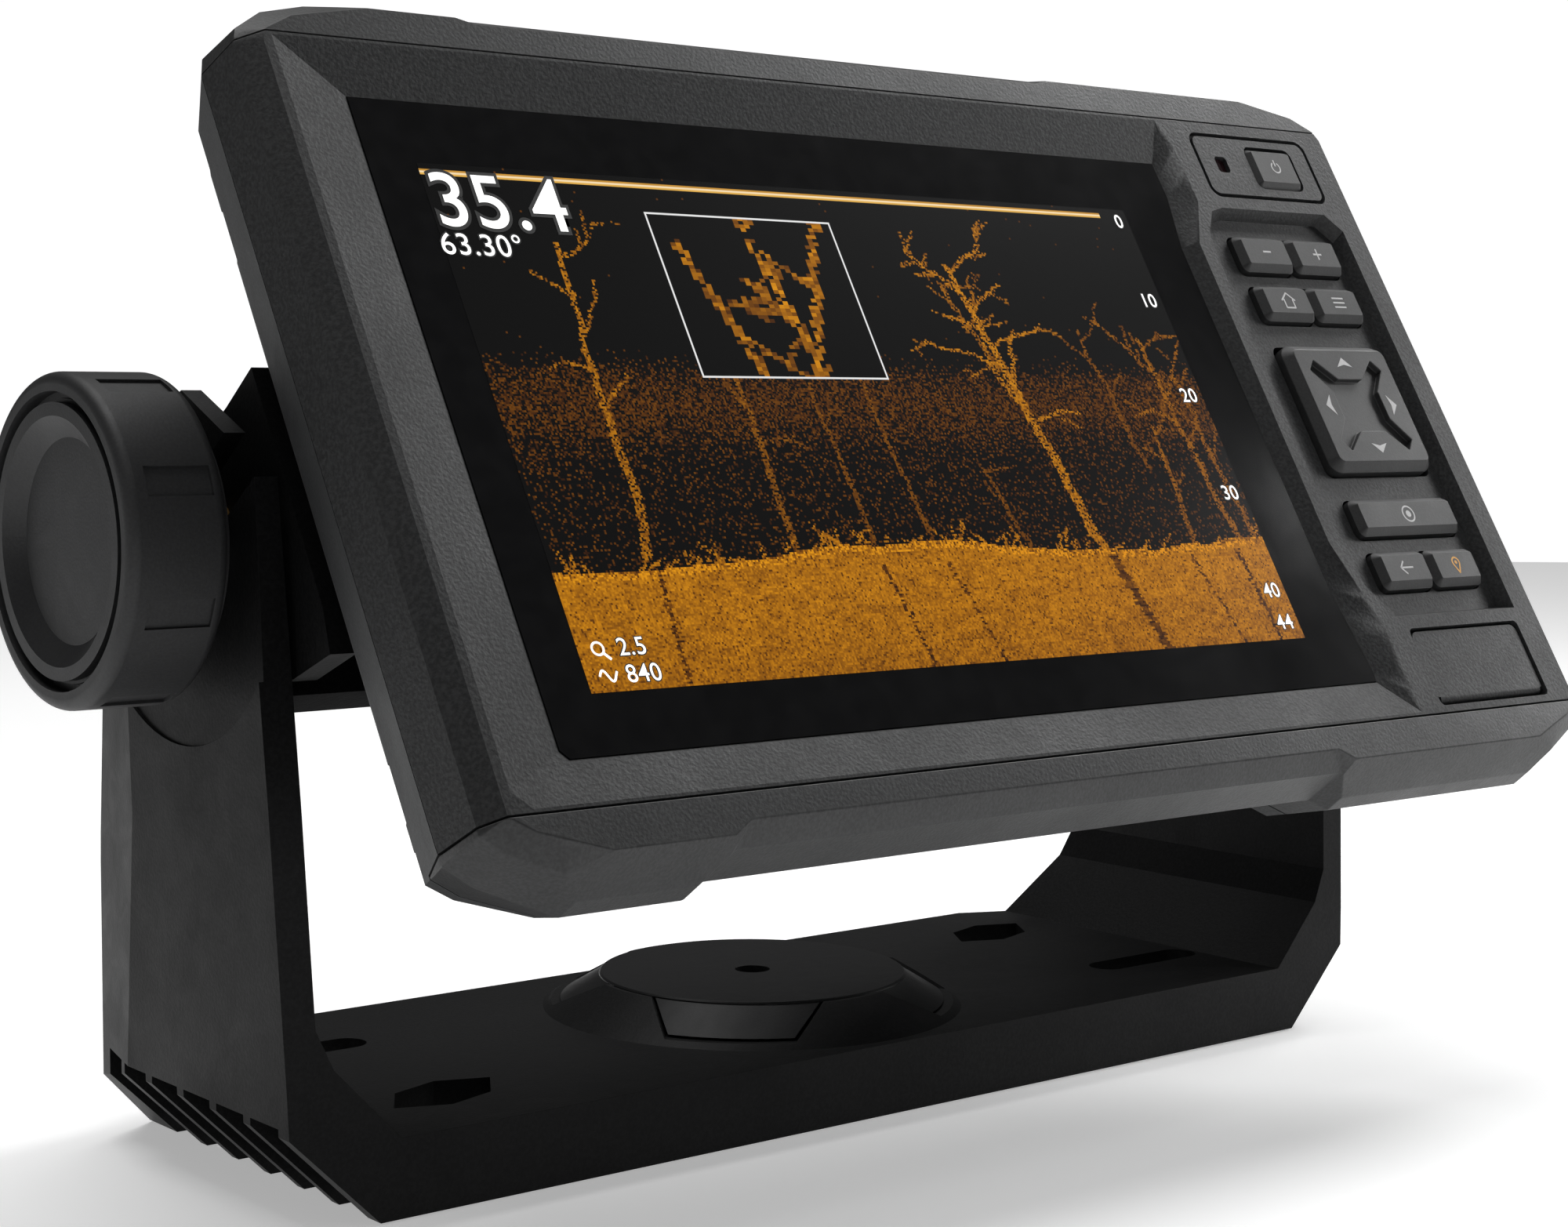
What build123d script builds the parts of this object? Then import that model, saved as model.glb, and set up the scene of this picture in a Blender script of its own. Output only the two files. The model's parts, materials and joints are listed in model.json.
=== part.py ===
from build123d import *
import os
from math import cos, degrees, radians, sin

os.makedirs("parts", exist_ok=True)

# ---------------------------------------------------------------------------
# Driving dimensions, millimetres.  The row frame has its origin on the deck,
# on the swivel axis: +Z up, -Y towards the user, +X to the user's right.
# ---------------------------------------------------------------------------
LEAN = 30.75            # the display leans back this far at rest, degrees
HEAD_X = -19.0          # centre of the active display area in the row frame
HEAD_Y = -53.7
HEAD_Z = 105.3
PIVOT_Y = -10.2         # tilt axis through both clamp knobs
PIVOT_Z = 89.5

ACTIVE_W = 131.0        # six inch, five by three display
ACTIVE_H = 76.0

# Head, in its own frame: x right, u up the display, n out of the display,
# measured from the centre of the active area.
MID = 19.0              # x of the head's middle
HALF = 105.2            # half width at the front edge
SEAM_TOP = 55.9         # u of the joint between bezel and top trim
SEAM_BOTTOM = -52.9
BOSS_X = (-78.2, 116.4)  # case screws
BOSS_U = (-47.5, 50.5)
SEAM_GAP = 0.25
RIDGE_N = 2.3           # foremost ridge of the bezel
FRONT_N = 1.5
SIDE_SEAM_N = -8.0      # joint between bezel and rear housing
CAP_BACK_N = -15.0
BACK_N = -38.0          # flat back of the rear housing
WALL = 2.6

GLASS_N = 0.8           # front of the cover glass
GLASS_T = 1.6
RECESS_N = 0.2          # floor of the key field
KEY_TOP_N = 2.1
KEY_GAP = 0.35

# Bail bracket
DECK_GAP = 0.3          # the skirt clears the deck
FLOOR_Z = 11.1
FLOOR_T = 3.4
HALF_DEPTH = 35.7       # half depth of the bracket's floor
ARM_OUT_LOW = 104.2     # outer half width at the foot of the arms
ARM_OUT_TOP = 107.3
ARM_T = 4.7
ARM_TOP_R = 19.5
ARM_TOP_Z = PIVOT_Z + ARM_TOP_R
SLOT_W = 9.0
SLOT_ANGLE = 36.0

# Swivel
DISC_R = 24.7
DISC_Z = 16.5
DOME_R = 33.7
BASE_R = 31.0
BASE_T = 3.0

# Knobs
KNOB_R = 21.8
KNOB_IN = 109.9
KNOB_OUT = 123.6
STUD_R = 3.0

HEAD_PLACE = Location((HEAD_X, HEAD_Y, HEAD_Z), (-LEAN, 0, 0))
COS_LEAN = cos(radians(LEAN))
SIN_LEAN = sin(radians(LEAN))
# The tilt axis in the head's own frame
PIVOT_U = (PIVOT_Y - HEAD_Y) * SIN_LEAN + (PIVOT_Z - HEAD_Z) * COS_LEAN
PIVOT_N = -(PIVOT_Y - HEAD_Y) * COS_LEAN + (PIVOT_Z - HEAD_Z) * SIN_LEAN


def save(shape, node):
    shape.label = node
    export_step(shape, "parts/" + node + ".step")


def save_head(shape, node):
    """Write a node, or a list of solids that share one, modelled upright in the head's own frame."""
    if isinstance(shape, list):
        save(Compound(children=[HEAD_PLACE * piece for piece in shape]), node)
    else:
        save(HEAD_PLACE * shape, node)


def front(n):
    """Sketch plane of the head at distance n: x right, y is u, normal is out."""
    return Plane.XZ.offset(n)


def bar(x0, x1, u0, u1, n0, n1):
    """Box in the head's frame."""
    centre = ((x0 + x1) / 2, -(n0 + n1) / 2, (u0 + u1) / 2)
    return Pos(*centre) * Box(abs(x1 - x0), abs(n1 - n0), abs(u1 - u0))


def block(x0, x1, y0, y1, z0, z1):
    """Box in the row frame."""
    centre = ((x0 + x1) / 2, (y0 + y1) / 2, (z0 + z1) / 2)
    return Pos(*centre) * Box(x1 - x0, y1 - y0, z1 - z0)


def prism(points, n0, n1):
    """Solid between two depths of the head from an outline in x and u."""
    return extrude(front(n0) * Polygon(*points, align=None), amount=n1 - n0, dir=(0, -1, 0))


def ruled(points_a, n_a, points_b, n_b):
    """Solid with flat facets between two outlines at two depths."""
    face_a = front(n_a) * Polygon(*points_a, align=None)
    face_b = front(n_b) * Polygon(*points_b, align=None)
    return loft([face_a, face_b], ruled=True)


def rounded(x0, x1, u0, u1, radius, n0, n1):
    """Rounded block in the head's frame."""
    outline = front(n0) * Pos((x0 + x1) / 2, (u0 + u1) / 2) * RectangleRounded(x1 - x0, u1 - u0, radius)
    return extrude(outline, amount=n1 - n0)


def head_pin(x, u, n0, n1, radius):
    """Round pin square to the display."""
    return extrude(front(n0) * Pos(x, u) * Circle(radius), amount=n1 - n0)


def x_pin(x0, x1, y, z, radius):
    """Round pin along X in the row frame."""
    return extrude(Plane.YZ.offset(x0) * Pos(y, z) * Circle(radius), amount=x1 - x0)


# ---------------------------------------------------------------------------
# Head shell
# ---------------------------------------------------------------------------
def head_outline(inset):
    """Outer outline of the head with every side pulled in by inset.

    The long edges carry a shallow recess between two raised pads.
    """
    w = HALF - inset
    k = w / HALF
    top = 64.0 - inset
    low = -61.4 + inset
    dip = 1.0
    return [
        (MID - w, 55.5 - inset * 0.4),
        (MID - w + 0.8, 57.8 - inset * 0.6),
        (MID - w + 5.2, 60.8 - inset * 0.8),
        (MID - w + 18.2, top),
        (MID - 74.4 * k, top),
        (MID - 70.6 * k, top - dip),
        (MID + 37.6 * k, top - dip),
        (MID + 41.0 * k, top),
        (MID + w - 18.2, top),
        (MID + w - 5.2, 60.8 - inset * 0.8),
        (MID + w - 0.8, 57.8 - inset * 0.6),
        (MID + w, 55.5 - inset * 0.4),
        (MID + w, -54.0 + inset * 0.4),
        (MID + w - 3.2, -56.8 + inset * 0.6),
        (MID + w - 13.5, low),
        (MID + 46.2 * k, low),
        (MID + 42.9 * k, low + dip * 2),
        (MID - 70.1 * k, low + dip * 2),
        (MID - 73.7 * k, low),
        (MID - w + 13.5, low),
        (MID - w + 3.2, -56.8 + inset * 0.6),
        (MID - w, -54.0 + inset * 0.4),
    ]


def back_outline(inset):
    """Plain eight-sided outline of the rear cover."""
    w = HALF - inset
    top = 63.0 - inset
    low = -60.0 + inset
    cut_top = 9.0
    cut_low = 8.0
    return [
        (MID - w, top - cut_top),
        (MID - w + cut_top * 1.6, top),
        (MID + w - cut_top * 1.6, top),
        (MID + w, top - cut_top),
        (MID + w, low + cut_low),
        (MID + w - cut_low * 1.4, low),
        (MID - w + cut_low * 1.4, low),
        (MID - w, low + cut_low),
    ]


# depth and how far the outline is pulled in there
FRONT_SECTIONS = [(RIDGE_N, 2.7), (-0.4, 0.0), (SIDE_SEAM_N, -1.0), (-18.0, 2.6)]
BACK_SECTIONS = [(-18.0, 3.0), (-21.0, 4.4), (-29.0, 15.0), (BACK_N, 20.0)]


def stack(sections, outline, shrink):
    """Facetted slices between neighbouring sections, all pulled in by shrink."""
    solid = None
    for (n_a, inset_a), (n_b, inset_b) in zip(sections, sections[1:]):
        piece = ruled(outline(inset_a + shrink), n_a, outline(inset_b + shrink), n_b)
        solid = piece if solid is None else solid + piece
    return solid


def shell_solid():
    return stack(FRONT_SECTIONS, head_outline, 0) + stack(BACK_SECTIONS, back_outline, 0)


def cavity_solid():
    front_part = [(RIDGE_N - 5.6, 0.0), (SIDE_SEAM_N, -1.0), (-18.0, 2.6)]
    back_part = [(-18.0, 3.0), (-21.0, 4.4), (-28.0, 15.0), (BACK_N + WALL, 18.5)]
    return stack(front_part, head_outline, WALL) + stack(back_part, back_outline, WALL)


OUTER = shell_solid()
CAVITY = cavity_solid()

# Glass opening: the right side steps in beside the key field
RIM = [
    (-72.9, 47.7),
    (77.4, 47.7),
    (77.6, 41.2),
    (75.8, 31.5),
    (75.8, -30.0),
    (77.7, -44.8),
    (77.4, -46.2),
    (-71.6, -46.2),
    (-72.7, -45.0),
]
# Ridge around the glass bevel: it swings round the key field's waist
RIDGE = [
    (-82.2, 55.4),
    (80.6, 55.4),
    (82.7, 50.0),
    (82.7, 39.7),
    (78.6, 31.5),
    (78.4, -23.0),
    (82.9, -38.0),
    (82.9, -52.4),
    (-79.8, -52.4),
    (-82.2, -50.0),
]
# Left wall of the key field
FIELD = [
    (88.0, 38.8),
    (85.1, 38.0),
    (82.3, 33.8),
    (81.6, 29.0),
    (80.9, -21.5),
    (82.4, -30.8),
    (86.4, -36.2),
    (116.8, -36.2),
    (116.8, 35.6),
    (113.6, 38.8),
]


def grow(points, distance, centre):
    """Scale an outline away from its centre by about the distance."""
    half_x = max(abs(x - centre[0]) for x, _ in points)
    half_u = max(abs(u - centre[1]) for _, u in points)
    scale_x = 1 + distance / half_x
    scale_u = 1 + distance / half_u
    grown = []
    for x, u in points:
        grown.append((centre[0] + (x - centre[0]) * scale_x, centre[1] + (u - centre[1]) * scale_u))
    return grown


# key name, x range, u range
KEY_LAYOUT = {
    "key_power": (100.2, 111.3, 43.6, 51.3),
    "key_minus": (88.4, 100.9, 27.3, 34.1),
    "key_plus": (101.3, 113.4, 27.3, 34.1),
    "key_home": (88.4, 100.9, 17.9, 24.6),
    "key_menu": (101.3, 113.4, 17.9, 24.6),
    "key_select": (88.4, 113.4, -21.7, -15.2),
    "key_back": (88.4, 100.9, -31.2, -24.6),
    "key_mark": (101.3, 113.4, -31.2, -24.6),
}
DPAD = (88.0, 113.4, -10.4, 13.1)
SENSOR = (91.6, 94.2, 46.1, 49.0)
DOOR = (88.6, 115.2, -51.2, -38.9)
DOOR_T = 2.2
PANEL = (87.2, 116.2, 41.0, 53.7)
FIELD_WALLS = 1.1


def door_pin(x0, x1, radius):
    """Round pin on the hinge axis of the card door."""
    axis_n = RIDGE_N - 0.35 - DOOR_T / 2
    start = Plane.YZ.offset(x0) * Pos(-axis_n, DOOR[2] + DOOR_T / 2)
    return extrude(start * Circle(radius), amount=x1 - x0)


def front_bezel():
    slab = bar(-120, 160, SEAM_BOTTOM + SEAM_GAP / 2, SEAM_TOP - SEAM_GAP / 2, SIDE_SEAM_N, 5)
    body = OUTER & slab
    body -= CAVITY
    # bevel that falls from the ridge to the glass
    body -= ruled(RIM, GLASS_N - 0.1, RIDGE, RIDGE_N + 0.01)
    # glass pocket, its ledge, and the display window behind it
    rim_centre = (2.4, 0.75)
    body -= prism(RIM, GLASS_N - GLASS_T - 0.5, RIDGE_N)
    body -= prism(grow(RIM, -1.6, rim_centre), -6, 1)
    # key field with sloping walls
    field_centre = (99.5, 1.3)
    body -= ruled(grow(FIELD, -FIELD_WALLS, field_centre), RECESS_N, FIELD, RIDGE_N + 0.01)
    # fine groove round the power key panel
    x0, x1, u0, u1 = PANEL
    groove = rounded(x0, x1, u0, u1, 2.2, FRONT_N - 0.1, RIDGE_N + 1)
    groove -= rounded(x0 + 0.7, x1 - 0.7, u0 + 0.7, u1 - 0.7, 1.6, FRONT_N - 1, RIDGE_N + 2)
    body -= groove
    # key holes
    for x0, x1, u0, u1 in list(KEY_LAYOUT.values()) + [DPAD]:
        gap = KEY_GAP
        body -= rounded(x0 - gap, x1 + gap, u0 - gap, u1 + gap, 1.6, -6, 5)
    # light sensor window
    x0, x1, u0, u1 = SENSOR
    body -= rounded(x0 - 0.1, x1 + 0.1, u0 - 0.1, u1 + 0.1, 0.7, -6, 5)
    # memory card door pocket, with the card slot through its floor
    x0, x1, u0, u1 = DOOR
    body -= rounded(x0 - 0.45, x1 + 0.45, u0 - 0.45, u1 + 0.45, 1.0, RIDGE_N - 0.4 - DOOR_T - 1.0, 5)
    body -= bar(95.0, 109.0, -46.6, -43.9, -8, 3)
    # holes for the door's hinge pins
    body -= door_pin(x0 - 1.3, x1 + 1.3, 0.66)
    # screw bosses from behind
    for x in BOSS_X:
        for u in BOSS_U:
            boss = head_pin(x, u, SIDE_SEAM_N, -2.6, 3.2) - head_pin(x, u, SIDE_SEAM_N, -4.0, 1.1)
            body += boss
    return body


def trim_cap(top):
    if top:
        slab = bar(-120, 160, SEAM_TOP + SEAM_GAP / 2, 80, CAP_BACK_N + 0.1, 5)
        inner = bar(MID - 92, MID + 92, SEAM_TOP - 1, 61.2, CAP_BACK_N, -2.6)
    else:
        slab = bar(-120, 160, -80, SEAM_BOTTOM - SEAM_GAP / 2, CAP_BACK_N + 0.1, 5)
        inner = bar(MID - 89, MID + 89, -57.2, SEAM_BOTTOM + 1, CAP_BACK_N, -2.6)
    body = OUTER & slab
    body -= inner
    # the long outer edge is chamfered along the front
    side = 1 if top else -1
    limit = 64.0 if top else 61.4
    wedge = Plane.YZ.offset(-120) * Polygon(
        (-RIDGE_N - 1, side * (limit - 3.4)),
        (-RIDGE_N - 1, side * (limit + 3)),
        (6, side * (limit + 3)),
        (4.6, side * (limit + 0.6)),
        align=None,
    )
    body -= extrude(wedge, amount=290, dir=(1, 0, 0))
    return body


def rear_housing():
    body = OUTER & bar(-120, 160, -80, 80, -60, SIDE_SEAM_N - SEAM_GAP)
    body -= bar(-120, 160, SEAM_TOP - SEAM_GAP / 2, 80, CAP_BACK_N, 5)
    body -= bar(-120, 160, -80, SEAM_BOTTOM + SEAM_GAP / 2, CAP_BACK_N, 5)
    body -= CAVITY
    # clip windows along the rear edge of both sides
    for side in (-1, 1):
        for u in (-40, 40):
            x = MID + side * 101.5
            body -= bar(x - 3.2, x + 3.2, u - 4, u + 4, -22.4, -20.0)
    # socket for the cradle's contact block, with the contact window in its floor
    body += bar(MID - 27, MID + 27, -12, 18, -36, -31.6)
    body -= bar(MID - 24.4, MID + 24.4, -9.4, 15.4, -39, -33.6)
    body -= bar(MID - 20.2, MID + 20.2, -5.2, 11.2, -34, -31)
    # cooling ribs on the back
    for u in (-40, -34, -28, 28, 34, 40):
        body += bar(MID - 62, MID + 62, u - 1, u + 1, -38.0, -39.4)
    # screw bosses that meet the bezel's
    for x in BOSS_X:
        for u in BOSS_U:
            boss = head_pin(x, u, -24.0, SIDE_SEAM_N - SEAM_GAP, 3.9)
            body += boss & OUTER
            body -= head_pin(x, u, -15.0, SIDE_SEAM_N, 1.3)
            body -= head_pin(x, u, -40.0, -15.0, 2.9)
    # catch rail for the release lever, under the socket
    rail = bar(MID - 15, MID + 15, -21, -18.4, -42.5, BACK_N + 0.5)
    rail -= bar(MID - 13.2, MID + 13.2, -22, -17, -41.0, BACK_N)
    body += rail
    return body


def display_glass():
    return prism(grow(RIM, -0.12, (2.4, 0.75)), GLASS_N - GLASS_T, GLASS_N)


def glass_gasket():
    outer = prism(grow(RIM, -0.3, (2.4, 0.75)), GLASS_N - GLASS_T - 0.5, GLASS_N - GLASS_T)
    return outer - prism(grow(RIM, -1.5, (2.4, 0.75)), -4, 3)


def keycap(x0, x1, u0, u1, bevel=1.1, radius=1.3, top=KEY_TOP_N):
    """Moulded rubber key with sloped sides and a retaining flange below."""
    stem = rounded(x0, x1, u0, u1, radius, -4.2, top)
    edges = stem.faces().sort_by(Axis.Y)[0].edges()
    stem = chamfer(edges, bevel)
    flange = rounded(x0 - 0.1, x1 + 0.1, u0 - 0.9, u1 + 0.9, 1.2, -4.8, -4.2)
    plunger_u = (u0 + u1) / 2
    plunger_x = (x0 + x1) / 2
    plunger = head_pin(plunger_x, plunger_u, -5.7, -4.8, 2.0)
    return stem + flange + plunger


def power_key():
    x0, x1, u0, u1 = KEY_LAYOUT["key_power"]
    return keycap(x0, x1, u0, u1, bevel=0.9, radius=1.0, top=FRONT_N + 1.3)


def dpad_key():
    """Four-way key: a square cap with a star-shaped dish between four lobes."""
    x0, x1, u0, u1 = DPAD
    cx = (x0 + x1) / 2
    cu = (u0 + u1) / 2
    cap = rounded(x0, x1, u0, u1, 2.6, -3.2, KEY_TOP_N + 0.5)
    top_edges = cap.faces().sort_by(Axis.Y)[0].edges()
    cap = chamfer(top_edges, 1.4)
    # star-shaped dish: an octagon with an arm towards each corner
    corner = [(3.0, 4.8), (7.2, 8.4), (8.9, 6.5), (5.6, 2.5)]
    star = []
    for side_x, side_u in ((1, 1), (1, -1), (-1, -1), (-1, 1)):
        points = corner if side_x == side_u else corner[::-1]
        star += [(cx + side_x * x, cu + side_u * u) for x, u in points]
    cap -= prism(star, KEY_TOP_N - 0.5, KEY_TOP_N + 1)
    # hollow underneath, where the rocker plate sits
    cap -= rounded(x0 + 1.8, x1 - 1.8, u0 + 1.8, u1 - 1.8, 1.5, -4, -1.4)
    post = head_pin(cx, cu, -3.0, -1.4, 2.2)
    return cap + post


def dpad_rocker():
    """Ring under the four-way key that lets it rock both ways."""
    x0, x1, u0, u1 = DPAD
    cx = (x0 + x1) / 2
    cu = (u0 + u1) / 2
    plate = rounded(x0 + 3.0, x1 - 3.0, u0 + 3.0, u1 - 3.0, 1.5, -4.6, -3.3)
    plate -= head_pin(cx, cu, -5, -3, 2.6)
    for dx, du in ((0, 7), (0, -7), (7.5, 0), (-7.5, 0)):
        plate += head_pin(cx + dx, cu + du, -5.3, -4.6, 1.5)
    return plate


def card_door():
    x0, x1, u0, u1 = DOOR
    top = RIDGE_N - 0.35
    panel = rounded(x0, x1, u0, u1, 1.5, top - DOOR_T, top)
    # the lower edge is fully rounded about the hinge pin
    low = bar(x0 - 1, x1 + 1, u0 - 1, u0 + DOOR_T / 2, -5, 5)
    panel -= low
    panel += door_pin(x0 + 0.6, x1 - 0.6, DOOR_T / 2)
    panel += door_pin(x0 - 1.2, x1 + 1.2, 0.6)
    return panel


def case_screws():
    """Screws that hold the rear housing to the bezel."""
    screws = []
    for x in BOSS_X:
        for u in BOSS_U:
            shank = head_pin(x, u, -15.0, -5.2, 1.0)
            cap_head = head_pin(x, u, -17.4, -15.0, 2.7) - head_pin(x, u, -17.5, -16.2, 1.2)
            screws.append(shank + cap_head)
    return screws


def build_head():
    save_head(front_bezel(), "front_bezel")
    save_head(display_glass(), "display_glass")
    save_head(glass_gasket(), "glass_gasket")
    save_head(trim_cap(True), "top_trim_cap")
    save_head(trim_cap(False), "bottom_trim_cap")
    save_head(rear_housing(), "rear_housing")
    save_head(case_screws(), "case_screws")
    seal = bar(MID - 102.5, MID + 102.5, -52.5, 55.5, SIDE_SEAM_N - 2.2, SIDE_SEAM_N - SEAM_GAP - 0.1)
    seal -= bar(MID - 101.4, MID + 101.4, -51.5, 54.5, SIDE_SEAM_N - 3, SIDE_SEAM_N)
    save_head(seal, "housing_seal")
    # display stack
    half_w = ACTIVE_W / 2
    half_h = ACTIVE_H / 2
    stack = (-half_w - 3, half_w + 3.6, -half_h - 4, half_h + 4)
    save_head(bar(*stack, -3.4, GLASS_N - GLASS_T - 0.6), "lcd_panel")
    save_head(bar(*stack, -5.8, -3.5), "backlight_unit")
    chassis = bar(-72, 80, -49, 49, -7.4, -6.0)
    for x in (-60, 0, 60):
        chassis -= rounded(x - 20, x + 20, -30, 30, 4, -8, -5)
    save_head(chassis, "display_chassis")
    # electronics
    board = bar(-70, 84, -44, 44, -13.2, -11.6)
    board_holes = [(x, u) for x in (-64, 78) for u in (-38, 38)]
    for x, u in board_holes:
        board -= head_pin(x, u, -14, -11, 1.7)
    save_head(board, "main_board")
    can = bar(-20, 50, -20, 26, -17.6, -13.3) - bar(-19.4, 49.4, -19.4, 25.4, -17.0, -13)
    save_head(can, "sonar_shield_can")
    save_head(bar(-58, -40, 20, 38, -17.4, -13.3), "gps_antenna")
    buzzer = head_pin(-50, -25, -19.0, -13.3, 7.0) - head_pin(-50, -25, -19.1, -18.0, 1.5)
    save_head(buzzer, "buzzer")
    board_screws = []
    standoffs = []
    for x, u in board_holes:
        board_screws.append(head_pin(x, u, -14.8, -13.3, 2.6) + head_pin(x, u, -13.3, -8.6, 1.5))
        standoffs.append(head_pin(x, u, -11.5, -7.5, 3.0) - head_pin(x, u, -11.6, -7.4, 1.6))
    save_head(board_screws, "board_screws")
    save_head(standoffs, "board_standoffs")
    reader = bar(94, 110, -52 + 1.4, -41, -9.6, -6.9)
    reader -= bar(95.2, 108.8, -46.4, -44.1, -8.9, -6)
    save_head(reader, "card_reader")
    # keypad electronics
    keypad_board = bar(86.5, 117.0, -34.5, 53.5, -9.0, -7.8)
    keypad_board -= head_pin(BOSS_X[1], BOSS_U[1], -10, -7, 4.4)
    save_head(keypad_board, "keypad_board")
    switches = []
    for name, (x0, x1, u0, u1) in KEY_LAYOUT.items():
        switches.append(head_pin((x0 + x1) / 2, (u0 + u1) / 2, -7.7, -6.6, 2.4))
    cx = (DPAD[0] + DPAD[1]) / 2
    cu = (DPAD[2] + DPAD[3]) / 2
    for dx, du in ((0, 7), (0, -7), (7.5, 0), (-7.5, 0)):
        switches.append(head_pin(cx + dx, cu + du, -7.7, -6.2, 2.0))
    save_head(switches, "key_switches")
    x0, x1, u0, u1 = SENSOR
    window = rounded(x0, x1, u0, u1, 0.6, -3.6, FRONT_N + 0.1)
    save_head(window, "light_sensor_window")
    # contacts that meet the cradle
    plate = bar(MID - 20, MID + 20, -5, 11, -33.4, -31.8)
    for i in range(6):
        plate -= head_pin(MID - 12.5 + 5 * i, 3, -34, -31, 1.35)
    save_head(plate, "contact_plate")
    pads = []
    for i in range(6):
        pads.append(head_pin(MID - 12.5 + 5 * i, 3, -33.5, -30.5, 1.25))
    save_head(pads, "contact_pads")
    save_head(head_pin(MID - 50, 0, -35.3, -34.7, 4.0), "vent_membrane")
    # keys
    for name, (x0, x1, u0, u1) in KEY_LAYOUT.items():
        if name == "key_power":
            save_head(power_key(), name)
        else:
            save_head(keycap(x0, x1, u0, u1), name)
    save_head(dpad_key(), "key_dpad")
    save_head(dpad_rocker(), "dpad_rocker")
    save_head(card_door(), "card_door")


# ---------------------------------------------------------------------------
# Bail bracket: a U of moulded plastic, hollow underneath
# ---------------------------------------------------------------------------
def side_profile():
    """Outline of the bracket seen from the side, y and z."""
    return [
        (-HALF_DEPTH, DECK_GAP),
        (HALF_DEPTH, DECK_GAP),
        (HALF_DEPTH, FLOOR_Z),
        (33.0, 15.0),
        (29.6, 19.0),
        (27.0, 26.0),
        (24.6, 62.0),
        (PIVOT_Y + ARM_TOP_R * cos(radians(15)), PIVOT_Z + ARM_TOP_R * sin(radians(15))),
        (PIVOT_Y + ARM_TOP_R * cos(radians(40)), PIVOT_Z + ARM_TOP_R * sin(radians(40))),
        (PIVOT_Y, ARM_TOP_Z),
        (PIVOT_Y - ARM_TOP_R * cos(radians(40)), PIVOT_Z + ARM_TOP_R * sin(radians(40))),
        (-29.8, 98.0),
        (-33.0, 55.0),
        (-35.0, 20.0),
    ]


def front_profile():
    """Outer outline of the bracket seen from the front, x and z."""
    corner_x = 91.0
    corner_z = 13.3
    right = [
        (corner_x, DECK_GAP),
        (ARM_OUT_LOW, corner_z),
        (ARM_OUT_TOP, ARM_TOP_Z + 1),
    ]
    left = [(-x, z) for x, z in reversed(right)]
    return left + right


def plan_profile():
    """Outline of the bracket from above: the back corners are cut away."""
    right = [(108.5, -HALF_DEPTH), (108.5, 5.5), (105.4, 5.5), (100.4, 26.0), (79.0, HALF_DEPTH)]
    left = [(-x, y) for x, y in reversed(right)]
    return right + left


def inner_profile():
    """Space between the arms, x and z, with chamfered corners at the floor."""
    right = [
        (ARM_OUT_TOP - ARM_T, ARM_TOP_Z + 5),
        (ARM_OUT_LOW - ARM_T + 0.4, 27.0),
        (97.4, 21.5),
        (87.5, FLOOR_Z),
    ]
    left = [(-x, z) for x, z in reversed(right)]
    return right + left


def along_y(points, y0, y1):
    """Solid along Y from an outline in x and z."""
    return extrude(Plane.XZ.offset(-y1) * Polygon(*points, align=None), amount=y1 - y0, dir=(0, -1, 0))


def along_x(points, x0, x1):
    """Solid along X from an outline in y and z."""
    return extrude(Plane.YZ.offset(x0) * Polygon(*points, align=None), amount=x1 - x0, dir=(1, 0, 0))


def arm_slot(x0, x1):
    """Open slot that lets the cradle's stud slide down to the tilt axis."""
    run = 34.0
    slot = Pos((x0 + x1) / 2, 0, 0) * Box(x1 - x0, run, SLOT_W)
    slot = Pos(0, -run / 2, 0) * slot
    slot = Rot(-SLOT_ANGLE, 0, 0) * slot
    slot = Pos(0, PIVOT_Y, PIVOT_Z) * slot
    return slot + x_pin(x0, x1, PIVOT_Y, PIVOT_Z, SLOT_W / 2)


def floor_hole(x, y, turn, lens):
    """Hole for fixing the bracket straight to the deck."""
    if lens:
        corners = [(-10.5, 0), (-4.2, 5.2), (4.2, 5.2), (10.5, 0), (4.2, -5.2), (-4.2, -5.2)]
        outline = Polygon(*corners, align=None)
    else:
        outline = SlotOverall(24.0, 6.4)
    return Pos(x, y, -1) * Rot(0, 0, turn) * extrude(outline, amount=30, dir=(0, 0, 1))


# x, y, turn, lens-shaped or plain slot
FLOOR_HOLES = [
    (-70.5, -18.5, 18, True),
    (70.5, 18.5, 18, True),
    (-75.0, 15.5, 0, False),
    (75.0, -15.5, 0, False),
]
TAB_ANGLES = (45, 135, 225, 315)


def dome_window(gap):
    """Trapezoid through the dome's wall along +X, shrunk by gap on every side."""
    low = FLOOR_Z + 0.8 + gap
    outline = [
        (-13.9 + gap, DISC_Z + 0.5),
        (-10.0 + gap, low),
        (10.0 - gap, low),
        (13.9 - gap, DISC_Z + 0.5),
    ]
    return along_x(outline, 20, 36)


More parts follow.
